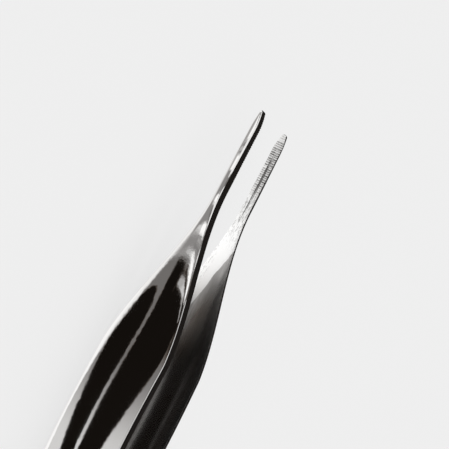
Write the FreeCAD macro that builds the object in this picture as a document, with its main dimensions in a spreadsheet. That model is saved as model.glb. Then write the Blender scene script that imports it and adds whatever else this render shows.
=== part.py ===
import FreeCAD, Part
import os
import Sketcher

# Podiatry tweezers: two sprung steel arms, mirror images of each other, welded flat to flat at the heel.
# They lie on their side edges. X runs from the heel to the tips, Y from one arm to the other, Z up.
# The origin is under the middle of the tool, half way along it, on the surface that it lies on.

# Driving dimensions in millimetres, apart from the two slopes, which are plain ratios
SIZES = (
    ("nose_length", 15.5, "slender jaws of even width, from the tips back"),
    ("shoulder_length", 34.5, "flare from the jaws to the full width"),
    ("grip_length", 28.0, "finger grip of even full width"),
    ("shank_length", 30.0, "sprung stretch that narrows to the heel"),
    ("weld_length", 12.0, "heel, where the two arms are welded together"),
    ("nose_width", 1.85, "width of each jaw"),
    ("body_width", 13.0, "width of each arm at the grip"),
    ("heel_width", 8.0, "width of each arm at the heel"),
    ("jaw_gap", 13.8, "clear space between the jaws with nothing pressed"),
    ("grip_front_gap", 16.4, "clear space between the arms at the front of the grip"),
    ("grip_back_gap", 13.6, "clear space between the arms at the back of the grip"),
    ("front_slope", 0.08, "how fast each arm still spreads at the front of the grip"),
    ("spring_slope", 0.20, "how fast each arm closes in on the middle along the shank"),
    ("tip_thickness", 1.35, "arm thickness at the tip"),
    ("nose_thickness", 1.80, "arm thickness where the jaw meets the flare"),
    ("grip_thickness", 1.75, "arm thickness at the grip"),
    ("heel_thickness", 1.50, "arm thickness at the heel"),
    ("nose_lean", 0.38, "how far each side wall of the jaw leans in towards the outer face"),
    ("body_lean", 0.25, "how far each side wall of the grip leans in towards the outer face"),
    ("heel_lean", 0.20, "how far each side wall of the heel leans in towards the outer face"),
    ("nose_crown", 0.12, "rise of the rounded outer face of the jaw"),
    ("body_crown", 0.45, "rise of the rounded outer face of the grip"),
    ("heel_crown", 0.30, "rise of the rounded outer face of the heel"),
    ("tip_round_length", 3.8, "stretch over which each jaw rounds in to its tip"),
    ("tip_blend", 0.03, "how far off the side of the jaw the rounding starts, so that it meets it cleanly"),
    ("tip_end_width", 0.90, "width of the short round end at the very tip"),
    ("heel_corner_radius", 2.4, "rounded corners of the heel"),
    ("tooth_start", 0.55, "from the tip to the first cut between two teeth"),
    ("tooth_pitch", 0.42, "from one tooth to the next"),
    ("tooth_depth", 0.16, "depth of the cuts between the teeth"),
    ("tooth_mouth", 0.34, "width of each cut at the face of the jaw"),
    ("toothed_length", 14.7, "stretch of the jaw that carries teeth"),
    ("groove_start", 3.0, "from the tip to the front end of the long groove"),
    ("groove_length", 15.5, "long groove down the middle of the jaw"),
    ("groove_width", 0.42, "width of the long groove"),
    ("groove_depth", 0.24, "depth of the long groove at its middle"),
    ("weld_grind", 0.60, "metal ground off each arm to make the flat that is welded"),
    ("side_grind", 0.10, "metal ground off each side of the grip, which leaves the flats it lies on"),
    ("cut_margin", 0.30, "how far each blank stands proud of what is cut away"),
)

# The zones of an arm from the tip to the heel, and into how many equal steps each one is divided by
# the cross-sections that shape it
ZONES = (("nose", 4), ("shoulder", 8), ("grip", 6), ("shank", 7), ("weld", 3))

# The cross-section where the zones meet, from the tip to the heel: half the width, how far the inner face
# stands from the middle, the slope of that towards the heel, the thickness, the wall lean and the crown
NOSE_HALF = "Sizes.nose_width / 2"
BODY_HALF = "Sizes.body_width / 2 + Sizes.side_grind"
HEEL_HALF = "Sizes.heel_width / 2"
JAW_FACE = "Sizes.jaw_gap / 2"
GROUND = "Sizes.heel_thickness + Sizes.weld_grind"
ENDS = (
    (NOSE_HALF, JAW_FACE, "0", "Sizes.tip_thickness", "Sizes.nose_lean", "Sizes.nose_crown"),
    (NOSE_HALF, JAW_FACE, "0", "Sizes.nose_thickness", "Sizes.nose_lean", "Sizes.nose_crown"),
    (BODY_HALF, "Sizes.grip_front_gap / 2", "Sizes.front_slope",
     "Sizes.grip_thickness", "Sizes.body_lean", "Sizes.body_crown"),
    (BODY_HALF, "Sizes.grip_back_gap / 2", "-Sizes.spring_slope",
     "Sizes.grip_thickness", "Sizes.body_lean", "Sizes.body_crown"),
    (HEEL_HALF, "0", "-Sizes.spring_slope", "Sizes.heel_thickness", "Sizes.heel_lean", "Sizes.heel_crown"),
    (HEEL_HALF, "-Sizes.weld_grind", "0", GROUND, "Sizes.heel_lean", "Sizes.heel_crown"),
)

HALF_LENGTH = "(" + " + ".join(f"Sizes.{zone}_length" for zone, _ in ZONES) + ") / 2"
TIP_X = f"({HALF_LENGTH})"
HEEL_X = f"(-1 * {HALF_LENGTH})"
MIDDLE_Z = "(Sizes.body_width / 2)"
MARGIN = "Sizes.cut_margin"

# The points of an edge, as a sketch counts them
START, END, CENTRE = 1, 2, 3


def make_sheet(doc):
    """Put every driving dimension in a cell with an alias."""
    sheet = doc.addObject("Spreadsheet::Sheet", "Sizes")
    for row, (name, value, meaning) in enumerate(SIZES, start=1):
        sheet.set(f"A{row}", meaning)
        sheet.set(f"B{row}", str(value))
        sheet.setAlias(f"B{row}", name)
    doc.recompute()
    return sheet


def blend(start, end, share):
    """A size that eases from one end of a zone to the other, level at both ends."""
    weight = 3 * share ** 2 - 2 * share ** 3
    return f"(({start}) * {1 - weight} + ({end}) * {weight})"


def bow(start, end, start_slope, end_slope, length, share):
    """The inner face's distance from the middle, with a slope of its own at each end of a zone."""
    lead_in = share ** 3 - 2 * share ** 2 + share
    lead_out = share ** 3 - share ** 2
    slopes = f"(({start_slope}) * {lead_in} + ({end_slope}) * ({lead_out}))"
    return f"({blend(start, end, share)} + {length} * {slopes})"


def origin_feature(body, role):
    """Find one of the body's own origin planes or axes."""
    return next(item for item in body.Origin.OriginFeatures if item.Role == role)


def new_sketch(body, name, plane, offset=None):
    """Attach a sketch to one of the body's origin planes, moved along that plane's normal."""
    sketch = body.newObject("Sketcher::SketchObject", name)
    sketch.AttachmentSupport = [(origin_feature(body, plane), "")]
    sketch.MapMode = "FlatFace"
    if offset:
        sketch.setExpression("AttachmentOffset.Base.z", offset)
    return sketch


def spot(sketch, across, up):
    """The point that two formulas give with the sheet's values of now."""
    return FreeCAD.Vector(*(float(sketch.evalExpression(formula)) for formula in (across, up)), 0)


def tie(sketch, edge, end, name, across=None, up=None):
    """Tie one end or centre of an edge to the sheet, measured from the sketch's origin."""
    for kind, axis, formula in (("DistanceX", "x", across), ("DistanceY", "y", up)):
        if formula is None:
            continue
        drawn = getattr(sketch.getPoint(edge, end), axis)
        index = sketch.addConstraint(Sketcher.Constraint(kind, -1, START, edge, end, drawn))
        sketch.renameConstraint(index, f"{name}_{axis}")
        sketch.setExpression(f"Constraints.{name}_{axis}", formula)


def close_outline(sketch, edges):
    """Join each edge's end to the start of the next one, all the way round."""
    for edge, following in zip(edges, edges[1:] + edges[:1]):
        sketch.addConstraint(Sketcher.Constraint("Coincident", edge, END, following, START))


def add_polygon(sketch, name, corners):
    """Draw a closed outline of straight edges whose corners are all tied to the sheet."""
    spots = [spot(sketch, across, up) for across, up in corners]
    edges = [
        sketch.addGeometry(Part.LineSegment(first, second), False)
        for first, second in zip(spots, spots[1:] + spots[:1])
    ]
    close_outline(sketch, edges)
    for number, (edge, (across, up)) in enumerate(zip(edges, corners), start=1):
        tie(sketch, edge, START, f"{name}_{number}", across, up)


def add_section(body, zone, share, start, end, behind, length, proud):
    """Draw the cross-section of the arm at one station: flat inner face, leaning walls, round outer face."""
    place = f"{TIP_X} - ({behind}) - {length} * {share} + {proud}"
    sketch = new_sketch(body, f"{zone}_{round(share * 1000):04d}", "YZ_Plane", place)
    half, thickness, lean, crown = (blend(start[i], end[i], share) for i in (0, 3, 4, 5))
    inner = bow(start[1], end[1], start[2], end[2], length, share)
    wall_top = f"{inner} + {thickness}"
    outer_half = f"({half} - {lean})"
    radius = f"({outer_half} ^ 2 + {crown} ^ 2) / (2 * {crown})"
    low, high = f"{MIDDLE_Z} - {half}", f"{MIDDLE_Z} + {half}"
    outer_low, outer_high = f"{MIDDLE_Z} - {outer_half}", f"{MIDDLE_Z} + {outer_half}"
    inner_low, inner_high = spot(sketch, inner, low), spot(sketch, inner, high)
    wall_low, wall_high = spot(sketch, wall_top, outer_low), spot(sketch, wall_top, outer_high)
    top = spot(sketch, f"{wall_top} + {crown}", MIDDLE_Z)
    sketch.addGeometry(Part.LineSegment(inner_high, inner_low), False)
    sketch.addGeometry(Part.LineSegment(inner_low, wall_low), False)
    sketch.addGeometry(Part.Arc(wall_low, top, wall_high), False)
    sketch.addGeometry(Part.LineSegment(wall_high, inner_high), False)
    close_outline(sketch, [0, 1, 2, 3])
    tie(sketch, 0, START, "inner_high", inner, high)
    tie(sketch, 1, START, "inner_low", inner, low)
    tie(sketch, 2, START, "wall_low", wall_top, outer_low)
    tie(sketch, 3, START, "wall_high", wall_top, outer_high)
    tie(sketch, 2, CENTRE, "crown_centre", f"{wall_top} + {crown} - {radius}")
    return sketch


def forge_blank(body):
    """Loft the whole arm through its cross-sections, a little long at both ends."""
    sections = []
    behind = "0"
    for (zone, steps), start, end in zip(ZONES, ENDS, ENDS[1:]):
        length = f"Sizes.{zone}_length"
        for step in range(steps):
            proud = "0" if sections else MARGIN
            sections.append(add_section(body, zone, step / steps, start, end, behind, length, proud))
        before, behind = behind, f"{behind} + {length}"
    sections.append(add_section(body, zone, 1.0, start, end, before, length, f"(-1 * {MARGIN})"))
    loft = body.newObject("PartDesign::AdditiveLoft", "forged_blank")
    loft.Profile = (sections[0], [""])
    loft.Sections = [(section, [""]) for section in sections[1:]]
    loft.Ruled = False
    return loft


def cut_through(body, sketch, name):
    """Cut a sketch's outline right through the arm, both ways from its plane."""
    pocket = body.newObject("PartDesign::Pocket", name)
    pocket.Profile = sketch
    pocket.Type = "ThroughAll"
    pocket.SideType = "Symmetric"
    return pocket


def grind_weld_flat(body):
    """Grind the heel flat on the middle plane, where the other arm meets it."""
    sketch = new_sketch(body, "weld_flat_outline", "XY_Plane")
    back, front = f"{HEEL_X} - 2 * {MARGIN}", f"{TIP_X}"
    below = f"-1 * (Sizes.weld_grind + {MARGIN})"
    add_polygon(sketch, "flat", (
        (back, "0"),
        (back, below),
        (front, below),
        (front, "0"),
    ))
    return cut_through(body, sketch, "weld_flat")


def grind_side_flats(body):
    """Grind both sides of the grip level, which leaves a long narrow flat on each."""
    sketch = new_sketch(body, "side_flat_outline", "XZ_Plane")
    back, front = HEEL_X, TIP_X
    clear = f"(Sizes.side_grind + {MARGIN})"
    sides = (
        ("low", "0", f"-1 * {clear}"),
        ("high", "Sizes.body_width", f"Sizes.body_width + {clear}"),
    )
    for name, level, outside in sides:
        add_polygon(sketch, name, (
            (back, level),
            (front, level),
            (front, outside),
            (back, outside),
        ))
    return cut_through(body, sketch, "side_flats")


def round_tip(body):
    """Trim the jaw to a slender rounded tip, seen on its face."""
    sketch = new_sketch(body, "tip_outline", "XZ_Plane")
    end_radius = "(Sizes.tip_end_width / 2)"
    start = f"{TIP_X} - Sizes.tip_round_length"
    reach = f"(Sizes.tip_round_length - {end_radius})"
    start_half = f"({NOSE_HALF} + Sizes.tip_blend)"
    drop = f"({start_half} - {end_radius})"
    side_radius = f"(({reach} ^ 2 + {drop} ^ 2) / (2 * {drop}))"
    edge_high, edge_low = f"{MIDDLE_Z} + {start_half}", f"{MIDDLE_Z} - {start_half}"
    clear_high, clear_low = f"{edge_high} + {MARGIN}", f"{edge_low} - {MARGIN}"
    clear_front = f"{TIP_X} + 2 * {MARGIN}"
    end_start = f"{TIP_X} - {end_radius}"
    half_way = f"{start} + {reach} / 2"
    bulge = f"({side_radius} - sqrt({side_radius} ^ 2 - ({reach} / 2) ^ 2))"
    high, low = spot(sketch, start, edge_high), spot(sketch, start, edge_low)
    end_high = spot(sketch, end_start, f"{MIDDLE_Z} + {end_radius}")
    end_low = spot(sketch, end_start, f"{MIDDLE_Z} - {end_radius}")
    side_high = Part.Arc(end_high, spot(sketch, half_way, f"{edge_high} - {bulge}"), high)
    side_low = Part.Arc(low, spot(sketch, half_way, f"{edge_low} + {bulge}"), end_low)
    end = Part.Arc(end_low, spot(sketch, TIP_X, MIDDLE_Z), end_high)
    clear_of_it = (
        (4, "clear_back_high", start, clear_high),
        (5, "clear_front_high", clear_front, clear_high),
        (6, "clear_front_low", clear_front, clear_low),
        (7, "clear_back_low", start, clear_low),
    )
    sketch.addGeometry(side_low, False)
    sketch.addGeometry(end, False)
    sketch.addGeometry(side_high, False)
    corners = [high, *(spot(sketch, across, up) for _, _, across, up in clear_of_it), low]
    for first, second in zip(corners, corners[1:]):
        sketch.addGeometry(Part.LineSegment(first, second), False)
    close_outline(sketch, list(range(sketch.GeometryCount)))
    tie(sketch, 0, START, "side_low_start", start, edge_low)
    tie(sketch, 1, START, "end_low", end_start, f"{MIDDLE_Z} - {end_radius}")
    tie(sketch, 2, START, "end_high", end_start, f"{MIDDLE_Z} + {end_radius}")
    tie(sketch, 3, START, "side_high_start", start, edge_high)
    tie(sketch, 0, CENTRE, "side_low_centre", None, f"{edge_low} + {side_radius}")
    tie(sketch, 1, CENTRE, "end_centre", end_start)
    tie(sketch, 2, CENTRE, "side_high_centre", None, f"{edge_high} - {side_radius}")
    for edge, name, across, up in clear_of_it:
        tie(sketch, edge, START, name, across, up)
    return cut_through(body, sketch, "tip_round")


def round_heel(body):
    """Trim the heel to length and round its two corners."""
    sketch = new_sketch(body, "heel_outline", "XZ_Plane")
    radius = "Sizes.heel_corner_radius"
    start = f"{HEEL_X} + {radius}"
    edge_high, edge_low = f"{MIDDLE_Z} + {HEEL_HALF}", f"{MIDDLE_Z} - {HEEL_HALF}"
    clear_high, clear_low = f"{edge_high} + {MARGIN}", f"{edge_low} - {MARGIN}"
    clear_back = f"{HEEL_X} - 2 * {MARGIN}"
    slant = f"{radius} / sqrt(2)"
    high, low = spot(sketch, start, edge_high), spot(sketch, start, edge_low)
    end_high = spot(sketch, HEEL_X, f"{edge_high} - {radius}")
    end_low = spot(sketch, HEEL_X, f"{edge_low} + {radius}")
    mid_high = spot(sketch, f"{start} - {slant}", f"{edge_high} - {radius} + {slant}")
    mid_low = spot(sketch, f"{start} - {slant}", f"{edge_low} + {radius} - {slant}")
    clear_of_it = (
        (4, "clear_front_low", start, clear_low),
        (5, "clear_back_low", clear_back, clear_low),
        (6, "clear_back_high", clear_back, clear_high),
        (7, "clear_front_high", start, clear_high),
    )
    sketch.addGeometry(Part.Arc(high, mid_high, end_high), False)
    sketch.addGeometry(Part.LineSegment(end_high, end_low), False)
    sketch.addGeometry(Part.Arc(end_low, mid_low, low), False)
    corners = [low, *(spot(sketch, across, up) for _, _, across, up in clear_of_it), high]
    for first, second in zip(corners, corners[1:]):
        sketch.addGeometry(Part.LineSegment(first, second), False)
    close_outline(sketch, list(range(sketch.GeometryCount)))
    tie(sketch, 0, START, "corner_high_start", start, edge_high)
    tie(sketch, 1, START, "end_high", HEEL_X, f"{edge_high} - {radius}")
    tie(sketch, 2, START, "end_low", HEEL_X, f"{edge_low} + {radius}")
    tie(sketch, 3, START, "corner_low_end", start, edge_low)
    tie(sketch, 0, CENTRE, "corner_high_centre", start)
    tie(sketch, 2, CENTRE, "corner_low_centre", start)
    for edge, name, across, up in clear_of_it:
        tie(sketch, edge, START, name, across, up)
    return cut_through(body, sketch, "heel_round")


def mill_groove(body):
    """Sink a long shallow groove down the middle of the jaw, deepest half way along."""
    sketch = new_sketch(body, "groove_outline", "XY_Plane", MIDDLE_Z)
    front = f"{TIP_X} - Sizes.groove_start"
    back = f"{front} - Sizes.groove_length"
    clear = f"{JAW_FACE} - {MARGIN}"
    half = "(Sizes.groove_length / 2)"
    radius = f"(({half} ^ 2 + Sizes.groove_depth ^ 2) / (2 * Sizes.groove_depth))"
    low_back, low_front = spot(sketch, back, clear), spot(sketch, front, clear)
    face_back, face_front = spot(sketch, back, JAW_FACE), spot(sketch, front, JAW_FACE)
    deepest = spot(sketch, f"{front} - {half}", f"{JAW_FACE} + Sizes.groove_depth")
    sketch.addGeometry(Part.Arc(face_front, deepest, face_back), False)
    sketch.addGeometry(Part.LineSegment(face_back, low_back), False)
    sketch.addGeometry(Part.LineSegment(low_back, low_front), False)
    sketch.addGeometry(Part.LineSegment(low_front, face_front), False)
    close_outline(sketch, [0, 1, 2, 3])
    tie(sketch, 0, START, "face_front", front, JAW_FACE)
    tie(sketch, 1, START, "face_back", back, JAW_FACE)
    tie(sketch, 2, START, "clear_back", back, clear)
    tie(sketch, 3, START, "clear_front", front, clear)
    tie(sketch, 0, CENTRE, "floor_centre", None, f"{JAW_FACE} + Sizes.groove_depth - {radius}")
    pocket = body.newObject("PartDesign::Pocket", "long_groove")
    pocket.Profile = sketch
    pocket.Type = "Length"
    pocket.SideType = "Symmetric"
    pocket.setExpression("Length", "Sizes.groove_width")
    return pocket


def cut_teeth(body):
    """Cut the first notch across the jaw and repeat it to the end of the toothed stretch."""
    sketch = new_sketch(body, "tooth_outline", "XY_Plane")
    middle = f"{TIP_X} - Sizes.tooth_start"
    apex = f"{JAW_FACE} + Sizes.tooth_depth"
    clear = f"{JAW_FACE} - {MARGIN}"
    half_mouth = f"(Sizes.tooth_mouth / 2 * (1 + {MARGIN} / Sizes.tooth_depth))"
    add_polygon(sketch, "notch", (
        (f"{middle} - {half_mouth}", clear),
        (f"{middle} + {half_mouth}", clear),
        (middle, apex),
    ))
    notch = cut_through(body, sketch, "first_notch")
    pattern = body.newObject("PartDesign::LinearPattern", "teeth")
    pattern.Originals = [notch]
    pattern.Direction = (origin_feature(body, "X_Axis"), [""])
    pattern.Reversed = True
    pattern.Mode = "Spacing"
    pattern.setExpression("Offset", "Sizes.tooth_pitch")
    pattern.setExpression("Occurrences", "floor(Sizes.toothed_length / Sizes.tooth_pitch)")
    body.Tip = pattern
    return pattern


def make_left_arm(doc):
    """The arm on the +Y side: forged, ground flat at the heel, trimmed, grooved and toothed."""
    body = doc.addObject("PartDesign::Body", "left_arm")
    body.Label = "left_arm"
    forge_blank(body)
    doc.recompute()
    volumes = [("forged_blank", body.Shape.Volume)]
    for step in (grind_weld_flat, grind_side_flats, round_tip, round_heel, mill_groove, cut_teeth):
        feature = step(body)
        doc.recompute()
        volumes.append((feature.Name, body.Shape.Volume))
    for (_, before), (name, after) in zip(volumes, volumes[1:]):
        if not after < before:
            raise RuntimeError(f"{name} removes no metal")
    return body


def make_right_arm(doc, left_arm):
    """The arm on the -Y side: the mirror image of the left one."""
    arm = doc.addObject("Part::Mirroring", "right_arm")
    arm.Label = "right_arm"
    arm.Source = left_arm
    arm.Base = FreeCAD.Vector(0, 0, 0)
    arm.Normal = FreeCAD.Vector(0, 1, 0)
    return arm


def check_document(doc, parts):
    """Stop if any object of the document failed, or a part is not one sound solid."""
    for item in doc.Objects:
        if "Invalid" in item.State or "Error" in item.State:
            raise RuntimeError(f"{item.Label} did not build: {item.State}")
    for part in parts:
        shape = part.Shape
        if shape.isNull() or not shape.isValid() or len(shape.Solids) != 1:
            raise RuntimeError(f"{part.Label} is not one sound solid")


def main():
    doc = FreeCAD.newDocument("podiatry_tweezers")
    make_sheet(doc)
    left_arm = make_left_arm(doc)
    right_arm = make_right_arm(doc, left_arm)
    doc.recompute()
    parts = (left_arm, right_arm)
    check_document(doc, parts)
    os.makedirs("parts", exist_ok=True)
    for part in parts:
        part.Shape.exportStep(f"parts/{part.Label}.step")
        box = part.Shape.BoundBox
        print(f"{part.Label}: {part.Shape.Volume:.1f} mm3, "
              f"X {box.XMin:.2f} to {box.XMax:.2f}, Y {box.YMin:.2f} to {box.YMax:.2f}, "
              f"Z {box.ZMin:.2f} to {box.ZMax:.2f}")


main()
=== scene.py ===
from functools import cached_property
import math

import bmesh
import bpy
from bpy.props import FloatProperty, FloatVectorProperty, IntProperty, PointerProperty
from mathutils import Matrix, Vector


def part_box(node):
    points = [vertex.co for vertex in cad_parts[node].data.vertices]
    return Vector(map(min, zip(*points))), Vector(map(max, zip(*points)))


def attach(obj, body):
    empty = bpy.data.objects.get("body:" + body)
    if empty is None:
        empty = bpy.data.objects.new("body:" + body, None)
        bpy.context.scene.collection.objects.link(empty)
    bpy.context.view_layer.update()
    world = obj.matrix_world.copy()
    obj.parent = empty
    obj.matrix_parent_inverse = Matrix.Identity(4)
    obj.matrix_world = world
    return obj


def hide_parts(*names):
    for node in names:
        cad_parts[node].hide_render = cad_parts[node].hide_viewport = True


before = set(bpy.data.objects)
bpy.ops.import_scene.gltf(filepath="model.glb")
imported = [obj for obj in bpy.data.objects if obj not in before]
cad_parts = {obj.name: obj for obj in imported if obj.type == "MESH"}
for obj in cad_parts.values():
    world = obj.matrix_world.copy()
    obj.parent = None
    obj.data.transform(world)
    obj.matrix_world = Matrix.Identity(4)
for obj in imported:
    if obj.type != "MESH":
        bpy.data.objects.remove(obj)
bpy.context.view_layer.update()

bl_info = {
    "name": "Podiatry Tweezers",
    "version": (1, 0, 0),
    "blender": (4, 5, 0),
    "location": "View3D > Sidebar > Tweezers",
    "description": "Builds the polished arms of a pair of podiatry tweezers, and a plain studio round them",
    "category": "Add Mesh",
}

ARM_LOW, ARM_HIGH = (Vector(corner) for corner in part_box("left_arm"))
MM = 0.001


def length(label, description, value_mm):
    """A size that the user can change, given in millimetres."""
    return FloatProperty(name=label, description=description, default=value_mm * MM, min=0.0,
                         subtype="DISTANCE", unit="LENGTH", precision=5)


def ratio(label, description, value):
    """A plain number that the user can change."""
    return FloatProperty(name=label, description=description, default=value, precision=4)


def turn(label, description, degrees):
    """An angle that the user can change, given in degrees."""
    return FloatProperty(name=label, description=description, default=math.radians(degrees),
                         subtype="ANGLE", unit="ROTATION")


def colour(label, description, value):
    """A colour that the user can change."""
    return FloatVectorProperty(name=label, description=description, default=value, size=3,
                               min=0.0, max=1.0, subtype="COLOR")


class TweezersSizes(bpy.types.PropertyGroup):
    """The sizes of one arm, measured from the tip back to the heel."""
    nose_length: length("Nose length", "Slender jaw of even width", 15.5)
    shoulder_length: length("Shoulder length", "Flare from the jaw to the full width", 34.5)
    grip_length: length("Grip length", "Finger grip of even full width", 28.0)
    shank_length: length("Shank length", "Sprung stretch that narrows to the heel", 30.0)
    weld_length: length("Weld length", "Heel, where the arms are welded together", 12.0)
    nose_width: length("Nose width", "Width of the jaw", 1.85)
    blank_width: length("Blank width", "Width of the grip before its sides are ground", 13.2)
    heel_width: length("Heel width", "Width of the heel", 8.0)
    jaw_gap: length("Jaw gap", "Clear space between the jaws", 13.8)
    grip_front_gap: length("Front gap", "Clear space between the arms at the front of the grip", 16.4)
    grip_back_gap: length("Back gap", "Clear space between the arms at the back of the grip", 13.6)
    front_slope: ratio("Front slope", "How fast the arm still spreads at the front of the grip", 0.08)
    spring_slope: ratio("Spring slope", "How fast the arm closes in along the shank", 0.20)
    tip_thickness: length("Tip thickness", "Arm thickness at the tip", 1.35)
    nose_thickness: length("Nose thickness", "Arm thickness where the jaw meets the flare", 1.80)
    grip_thickness: length("Grip thickness", "Arm thickness at the grip", 1.75)
    heel_thickness: length("Heel thickness", "Arm thickness at the heel", 1.50)
    nose_lean: length("Nose lean", "Inward lean of the jaw's side walls", 0.38)
    body_lean: length("Body lean", "Inward lean of the grip's side walls", 0.25)
    heel_lean: length("Heel lean", "Inward lean of the heel's side walls", 0.20)
    nose_crown: length("Nose crown", "Rise of the rounded outer face of the jaw", 0.12)
    body_crown: length("Body crown", "Rise of the rounded outer face of the grip", 0.45)
    heel_crown: length("Heel crown", "Rise of the rounded outer face of the heel", 0.30)
    weld_grind: length("Weld grind", "Metal ground off to make the flat that is welded", 0.60)
    tip_round_length: length("Tip rounding", "Stretch over which the jaw rounds in to its tip", 3.8)
    tip_end_width: length("Tip end width", "Width of the short round end at the very tip", 0.90)
    tip_nose_radius: length("Tip nose radius", "Rounding of the tip's outer edge, from the side", 0.50)
    tip_inner_radius: length("Tip inner radius", "Rounding of the tip's inner edge, from the side", 0.40)
    heel_corner_radius: length("Heel corner radius", "Rounded corners of the heel", 2.4)
    outer_edge: length("Outer edge", "Rounding of the long edges of the outer face", 0.20)
    inner_edge: length("Inner edge", "Rounding of the long edges of the inner face", 0.02)
    tooth_start: length("Tooth start", "From the tip to the first cut between two teeth", 0.55)
    tooth_pitch: length("Tooth pitch", "From one tooth to the next", 0.42)
    tooth_depth: length("Tooth depth", "Depth of the cuts between the teeth", 0.16)
    tooth_mouth: length("Tooth mouth", "Width of each cut at the face of the jaw", 0.34)
    toothed_length: length("Toothed length", "Stretch of the jaw that carries teeth", 14.7)
    tooth_fade: length("Tooth fade", "Stretch over which the last teeth get shallow", 5.0)
    groove_start: length("Groove start", "From the tip to the front end of the long groove", 3.0)
    groove_length: length("Groove length", "Long groove down the middle of the jaw", 15.5)
    groove_width: length("Groove width", "Width of the long groove", 0.42)
    groove_depth: length("Groove depth", "Depth of the long groove at its middle", 0.24)
    station_step: length("Station step", "Distance between cross-sections along the plain stretches", 0.6)


class TweezersLooks(bpy.types.PropertyGroup):
    """Colours and finish."""
    steel: colour("Steel", "Colour of the steel", (0.78, 0.772, 0.765))
    polish_roughness: ratio("Polish roughness", "Roughness of the mirror polish", 0.045)
    wave_size: length("Wave size", "Size of the faint unevenness in the polish", 1.6)
    wave_height: length("Wave height", "Height of the faint unevenness in the polish", 0.010)
    buffed_roughness: ratio("Buffed roughness", "Roughness of the inner faces behind the jaws", 0.19)
    hidden_roughness: ratio("Hidden roughness", "Roughness of the inner faces of the grip and shank", 0.12)
    buffed: colour("Buffed", "Colour of the inner faces behind the jaws", (0.45, 0.44, 0.43))
    # painted light: a lighter colour standing in for a brighter reflection just behind the ground finish
    buffed_painted_light: colour("Fresh", "Colour just behind the ground finish, towards the tip", (0.55, 0.538, 0.53))
    streak: colour("Streaks", "Colour of the buffing streaks", (0.20, 0.195, 0.19))
    # painted shade: a darker colour standing in for a darker reflection just behind the ground finish
    buffed_painted_shade: colour("Faded", "Colour just behind the ground finish, towards the grip", (0.25, 0.243, 0.238))
    # the colour of the cuts is partly dirt and partly painted shade in the recesses
    cut: colour("Cuts", "Colour down between the teeth", (0.32, 0.315, 0.31))
    # the groove colour is partly dirt and partly painted shade; it is also laid as painted shade on the
    # buffed faces and as a painted reflection on the upper corner of the jaws
    groove: colour("Groove", "Colour of the long groove and of the darkest shading", (0.16, 0.155, 0.15))
    mark_depth: length("Mark depth", "Depth of the marks of the grinding wheel", 0.0012)
    satin: colour("Satin", "Colour of the ground faces of the jaws", (0.95, 0.948, 0.942))
    jaw: colour("Jaw", "Colour of the ground faces between the teeth", (0.76, 0.757, 0.75))
    tip: colour("Tip", "Colour of the ground faces at the very tips", (0.64, 0.637, 0.63))
    fleck: colour("Flecks", "Colour of the flecks in the ground finish", (0.38, 0.375, 0.37))
    satin_roughness: ratio("Satin roughness", "Roughness of the ground faces of the jaws", 0.34)
    satin_end: length("Satin end", "Where the ground finish ends, along the middle behind the tips", 29.4)
    satin_line_angle: turn("Satin line angle", "Slant of the end of the ground finish", -75.1)
    floor: colour("Floor", "Colour of the floor", (0.86, 0.86, 0.86))


class TweezersCamera(bpy.types.PropertyGroup):
    """Where the camera stands and how it is turned."""
    azimuth: turn("Azimuth", "Round the tool, from straight in front", 183.97)
    elevation: turn("Elevation", "Height of the camera over the tool", 21.62)
    roll: turn("Roll", "Turn of the picture", 115.93)
    distance: length("Distance", "From the camera to the point it looks at", 260.99)
    aim_behind_tip: length("Aim behind the tips", "The point it looks at, back from the tips", 20.17)
    aim_to_right: length("Aim to the right", "The point it looks at, off the middle", 0.90)
    focal_width: ratio("Focal length in picture widths", "Lens length over picture width", 3.255)


# Shape of the arms

def zone_ends(sizes):
    """Cross-sections where the zones meet, from the tip to the heel.

    Each one holds half the width, the inner face's distance from the middle, the slope of that
    towards the heel, the thickness, the lean of the side walls and the crown of the outer face."""
    nose, grip, heel = sizes.nose_width / 2, sizes.blank_width / 2, sizes.heel_width / 2
    jaw, front, back = sizes.jaw_gap / 2, sizes.grip_front_gap / 2, sizes.grip_back_gap / 2
    spring = -sizes.spring_slope
    ground = sizes.heel_thickness + sizes.weld_grind
    return (
        (nose, jaw, 0.0, sizes.tip_thickness, sizes.nose_lean, sizes.nose_crown),
        (nose, jaw, 0.0, sizes.nose_thickness, sizes.nose_lean, sizes.nose_crown),
        (grip, front, sizes.front_slope, sizes.grip_thickness, sizes.body_lean, sizes.body_crown),
        (grip, back, spring, sizes.grip_thickness, sizes.body_lean, sizes.body_crown),
        (heel, 0.0, spring, sizes.heel_thickness, sizes.heel_lean, sizes.heel_crown),
        (heel, -sizes.weld_grind, 0.0, ground, sizes.heel_lean, sizes.heel_crown),
    )


def zone_lengths(sizes):
    return (sizes.nose_length, sizes.shoulder_length, sizes.grip_length,
            sizes.shank_length, sizes.weld_length)


def arm_at(sizes, distance):
    """Half width, inner face, outer face, wall lean and crown at a distance behind the tip."""
    ends = zone_ends(sizes)
    behind = 0.0
    for index, zone in enumerate(zone_lengths(sizes)):
        if distance <= behind + zone or index == len(ends) - 2:
            break
        behind += zone
    share = min(max((distance - behind) / zone, 0.0), 1.0)
    start, end = ends[index], ends[index + 1]
    weight = 3 * share ** 2 - 2 * share ** 3
    half, inner, _, thickness, lean, crown = (a + (b - a) * weight for a, b in zip(start, end))
    lead_in = share ** 3 - 2 * share ** 2 + share
    lead_out = share ** 3 - share ** 2
    inner += zone * (start[2] * lead_in + end[2] * lead_out)
    outer = inner + thickness
    return half, max(inner, 0.0), outer, lean, crown


def round_in(distance, radius):
    """How much of a round corner's radius is left at a distance from its end: 0 to 1."""
    if distance >= radius:
        return 1.0
    return math.sqrt(max(1.0 - (1.0 - distance / radius) ** 2, 0.0))


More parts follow.
